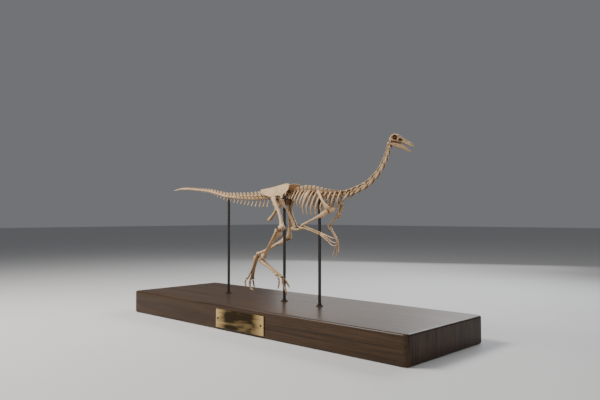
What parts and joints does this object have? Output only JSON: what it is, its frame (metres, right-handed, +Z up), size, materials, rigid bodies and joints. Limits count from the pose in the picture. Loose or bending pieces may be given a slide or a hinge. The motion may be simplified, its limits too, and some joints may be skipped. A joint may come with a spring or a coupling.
{
  "type": "mounted ornithomimid dinosaur skeleton",
  "caption": "Life-size mounted skeleton of a running ornithomimid dinosaur with a toothless beak, held by black steel rods on a long wooden base with a blank brass plaque.",
  "frame": {"origin": "centre of the base's underside", "axes": "+X along the base towards the head, +Y to the animal's left, +Z up"},
  "size_m": [4.1345, 1.3126, 1.9794],
  "materials": {
    "bone": "matte cream fossil bone, brown in the hollows",
    "base": "satin dark walnut",
    "plaque": "aged brass, blank",
    "rod": "satin black"
  },
  "bodies": {
    "root": {"femur_left": "bone", "femur_right": "bone", "fibula_left": "bone", "fibula_right": "bone", "finger_1_left": "bone", "finger_1_right": "bone", "finger_2_left": "bone", "finger_2_right": "bone", "finger_3_left": "bone", "finger_3_right": "bone", "humerus_left": "bone", "humerus_right": "bone", "ilium_left": "bone", "ilium_right": "bone", "ischium_left": "bone", "ischium_right": "bone", "lower_jaw": "bone", "metacarpals_left": "bone", "metacarpals_right": "bone", "metatarsus_left": "bone", "metatarsus_right": "bone", "neck_lower": "bone", "neck_middle": "bone", "neck_upper": "bone", "pubis_left": "bone", "pubis_right": "bone", "radius_left": "bone", "radius_right": "bone", "ribcage_left": "bone", "ribcage_right": "bone", "sacrum": "bone", "scapula_left": "bone", "scapula_right": "bone", "skull": "bone", "stand_base": "base", "stand_flange_chest": "rod", "stand_flange_pelvis": "rod", "stand_flange_tail": "rod", "stand_plaque": "plaque", "stand_rod_chest": "rod", "stand_rod_pelvis": "rod", "stand_rod_tail": "rod", "stand_screw_left": "plaque", "stand_screw_right": "plaque", "tail_base": "bone", "tail_end": "bone", "tail_middle": "bone", "tibia_left": "bone", "tibia_right": "bone", "toe_2_left": "bone", "toe_2_right": "bone", "toe_3_left": "bone", "toe_3_right": "bone", "toe_4_left": "bone", "toe_4_right": "bone", "ulna_left": "bone", "ulna_right": "bone"}
  },
  "joints": []
}
